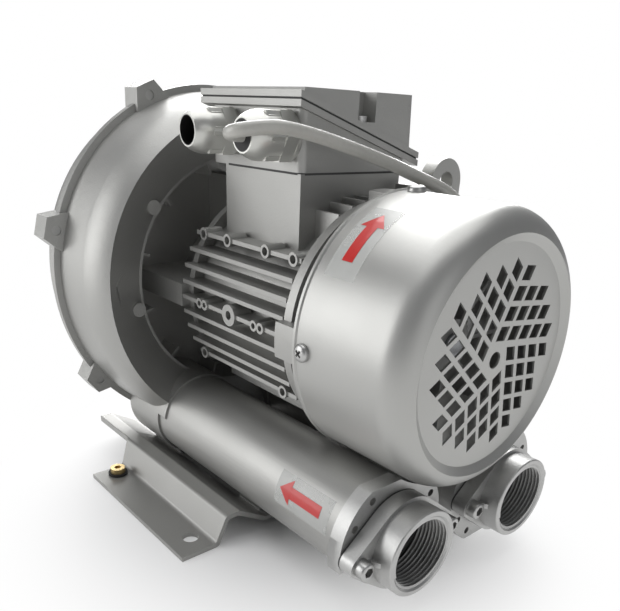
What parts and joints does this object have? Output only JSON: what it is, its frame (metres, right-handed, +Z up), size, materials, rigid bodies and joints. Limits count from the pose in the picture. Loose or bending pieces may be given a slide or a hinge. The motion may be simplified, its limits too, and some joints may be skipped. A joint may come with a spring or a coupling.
{
  "type": "side channel air blower",
  "caption": "Ring-shaped side channel air pump with a finned motor, terminal box, two threaded side-by-side ports on silencer tubes and a bent foot plate.",
  "frame": {"origin": "on the floor, under the middle of the pump without its cord", "axes": "+X along the motor axis towards the ports, +Y away from the cable glands, +Z up"},
  "size_m": [0.3426, 0.3466, 0.2553],
  "materials": {
    "cast_paint": "satin silver grey paint on cast aluminium",
    "cowl_paint": "smooth silver grey paint on pressed steel",
    "foot_paint": "silver grey paint on bent steel sheet",
    "bare_cast": "bare cast aluminium with turned faces",
    "zinc_steel": "zinc plated",
    "yellow_zinc": "yellow passivated zinc plate",
    "shaft_steel": "turned steel",
    "core_steel": "stacked laminations",
    "winding": "varnished winding heads",
    "fan_plastic": "moulded black plastic",
    "gland_plastic": "moulded grey plastic",
    "black_rubber": "matt",
    "gasket_sheet": "fibre sheet",
    "foam": "open foam",
    "cord_jacket": "grey jacket",
    "terminal_plastic": "moulded",
    "can_plastic": "moulded can"
  },
  "bodies": {
    "blower": {"cord_coil": "cord_jacket", "cord_run": "cord_jacket", "cord_tail": "cord_jacket", "cover_screws": "zinc_steel", "cowl_screws": "zinc_steel", "fan_cowl": "cowl_paint", "fan_end_shield": "cast_paint", "far_end_plate": "bare_cast", "far_foam_lining": "foam", "far_port_flange": "bare_cast", "far_port_gasket": "gasket_sheet", "far_silencer": "cast_paint", "flange_screws": "zinc_steel", "foot_bolts": "yellow_zinc", "foot_grommets": "black_rubber", "foot_plate": "foot_paint", "foot_screws": "zinc_steel", "front_bearing_outer": "shaft_steel", "gland_1_body": "gland_plastic", "gland_1_cap": "gland_plastic", "gland_1_seal": "black_rubber", "gland_2_body": "gland_plastic", "gland_2_cap": "gland_plastic", "gland_2_seal": "black_rubber", "lid_gasket": "gasket_sheet", "lid_screws": "zinc_steel", "mains_plug": "cord_jacket", "motor_bracket": "cast_paint", "motor_frame": "cast_paint", "near_end_plate": "bare_cast", "near_foam_lining": "foam", "near_port_flange": "bare_cast", "near_port_gasket": "gasket_sheet", "near_silencer": "cast_paint", "rear_bearing_outer": "shaft_steel", "ring_cover": "cast_paint", "ring_housing": "cast_paint", "run_capacitor": "can_plastic", "shaft_seal": "black_rubber", "stator_core": "core_steel", "stator_windings": "winding", "terminal_block": "terminal_plastic", "terminal_box": "cast_paint", "terminal_lid": "cast_paint"},
    "rotor": {"motor_shaft": "shaft_steel", "impeller": "bare_cast", "impeller_key": "zinc_steel", "impeller_washer": "zinc_steel", "impeller_nut": "zinc_steel", "front_bearing_inner": "shaft_steel", "rear_bearing_inner": "shaft_steel", "rotor_core": "core_steel", "cooling_fan": "fan_plastic"}
  },
  "joints": [
    {"name": "rotor_spin", "type": "hinge", "parent": "blower", "child": "rotor", "pos_m": [-0.117, 0, 0.1345], "axis": [1, 0, 0], "continuous": true}
  ]
}
